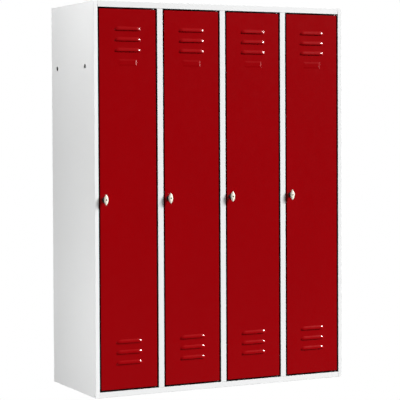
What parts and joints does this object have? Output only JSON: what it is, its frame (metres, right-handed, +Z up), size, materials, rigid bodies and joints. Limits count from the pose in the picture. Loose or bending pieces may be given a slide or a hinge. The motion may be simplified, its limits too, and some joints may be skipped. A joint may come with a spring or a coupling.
{
  "type": "compartment locker",
  "caption": "Sheet-steel wardrobe locker with a row of hinged louvred doors, turn latches, and a hat shelf, coat rail and sliding hook in every compartment.",
  "frame": {"origin": "On the ground under the middle of the object's whole box, latch grips included", "axes": "+X to the right seen from the front, +Y to the back, +Z up; the doors face -Y"},
  "size_m": [1.23, 0.519, 1.7],
  "materials": {
    "carcass_paint": "light grey powder coat, fine satin texture",
    "door_paint": "ruby red powder coat, satin gloss",
    "latch_chrome": "polished chrome",
    "zinc_steel": "bright zinc plating",
    "black_plastic": "black moulded plastic",
    "buffer_rubber": "dark grey rubber"
  },
  "bodies": {
    "carcass": {"left_side_panel": "carcass_paint", "right_side_panel": "carcass_paint", "top_panel": "carcass_paint", "floor_panel": "carcass_paint", "back_panel": "carcass_paint", "mullion_1": "carcass_paint", "mullion_2": "carcass_paint", "mullion_3": "carcass_paint", "partition_1": "carcass_paint", "partition_2": "carcass_paint", "partition_3": "carcass_paint", "hat_shelf_1": "carcass_paint", "hat_shelf_2": "carcass_paint", "hat_shelf_3": "carcass_paint", "hat_shelf_4": "carcass_paint", "coat_rail_1": "zinc_steel", "coat_rail_2": "zinc_steel", "coat_rail_3": "zinc_steel", "coat_rail_4": "zinc_steel"},
    "door_leaf_1": {"door_1": "door_paint", "door_stiffener_1": "door_paint", "hinge_pin_top_1": "zinc_steel", "hinge_pin_bottom_1": "zinc_steel", "latch_rosette_1": "black_plastic", "latch_nut_1": "zinc_steel", "door_buffer_1": "buffer_rubber"},
    "turn_latch_1": {"latch_knob_1": "latch_chrome", "latch_cam_1": "zinc_steel"},
    "sliding_hook_1": {"coat_hook_1": "black_plastic"},
    "door_leaf_2": {"door_2": "door_paint", "door_stiffener_2": "door_paint", "hinge_pin_top_2": "zinc_steel", "hinge_pin_bottom_2": "zinc_steel", "latch_rosette_2": "black_plastic", "latch_nut_2": "zinc_steel", "door_buffer_2": "buffer_rubber"},
    "turn_latch_2": {"latch_knob_2": "latch_chrome", "latch_cam_2": "zinc_steel"},
    "sliding_hook_2": {"coat_hook_2": "black_plastic"},
    "door_leaf_3": {"door_3": "door_paint", "door_stiffener_3": "door_paint", "hinge_pin_top_3": "zinc_steel", "hinge_pin_bottom_3": "zinc_steel", "latch_rosette_3": "black_plastic", "latch_nut_3": "zinc_steel", "door_buffer_3": "buffer_rubber"},
    "turn_latch_3": {"latch_knob_3": "latch_chrome", "latch_cam_3": "zinc_steel"},
    "sliding_hook_3": {"coat_hook_3": "black_plastic"},
    "door_leaf_4": {"door_4": "door_paint", "door_stiffener_4": "door_paint", "hinge_pin_top_4": "zinc_steel", "hinge_pin_bottom_4": "zinc_steel", "latch_rosette_4": "black_plastic", "latch_nut_4": "zinc_steel", "door_buffer_4": "buffer_rubber"},
    "turn_latch_4": {"latch_knob_4": "latch_chrome", "latch_cam_4": "zinc_steel"},
    "sliding_hook_4": {"coat_hook_4": "black_plastic"}
  },
  "joints": [
    {"name": "door_1_swing", "type": "hinge", "parent": "carcass", "child": "door_leaf_1", "pos_m": [-0.3355, -0.2345, 0.849], "axis": [0, 0, 1], "range_deg": [0, 110]},
    {"name": "latch_1_turn", "type": "hinge", "parent": "door_leaf_1", "child": "turn_latch_1", "pos_m": [-0.568, -0.2395, 0.85], "axis": [0, 1, 0], "range_deg": [0, 90]},
    {"name": "hook_1_slide", "type": "slide", "parent": "carcass", "child": "sliding_hook_1", "axis": [1, 0, 0], "range_m": [-0.143, 0.143]},
    {"name": "door_2_swing", "type": "hinge", "parent": "carcass", "child": "door_leaf_2", "pos_m": [-0.0305, -0.2345, 0.849], "axis": [0, 0, 1], "range_deg": [0, 110]},
    {"name": "latch_2_turn", "type": "hinge", "parent": "door_leaf_2", "child": "turn_latch_2", "pos_m": [-0.263, -0.2395, 0.85], "axis": [0, 1, 0], "range_deg": [0, 90]},
    {"name": "hook_2_slide", "type": "slide", "parent": "carcass", "child": "sliding_hook_2", "axis": [1, 0, 0], "range_m": [-0.141, 0.141]},
    {"name": "door_3_swing", "type": "hinge", "parent": "carcass", "child": "door_leaf_3", "pos_m": [0.2745, -0.2345, 0.849], "axis": [0, 0, 1], "range_deg": [0, 110]},
    {"name": "latch_3_turn", "type": "hinge", "parent": "door_leaf_3", "child": "turn_latch_3", "pos_m": [0.042, -0.2395, 0.85], "axis": [0, 1, 0], "range_deg": [0, 90]},
    {"name": "hook_3_slide", "type": "slide", "parent": "carcass", "child": "sliding_hook_3", "axis": [1, 0, 0], "range_m": [-0.141, 0.141]},
    {"name": "door_4_swing", "type": "hinge", "parent": "carcass", "child": "door_leaf_4", "pos_m": [0.5795, -0.2345, 0.849], "axis": [0, 0, 1], "range_deg": [0, 110]},
    {"name": "latch_4_turn", "type": "hinge", "parent": "door_leaf_4", "child": "turn_latch_4", "pos_m": [0.347, -0.2395, 0.85], "axis": [0, 1, 0], "range_deg": [0, 90]},
    {"name": "hook_4_slide", "type": "slide", "parent": "carcass", "child": "sliding_hook_4", "axis": [1, 0, 0], "range_m": [-0.143, 0.143]}
  ]
}
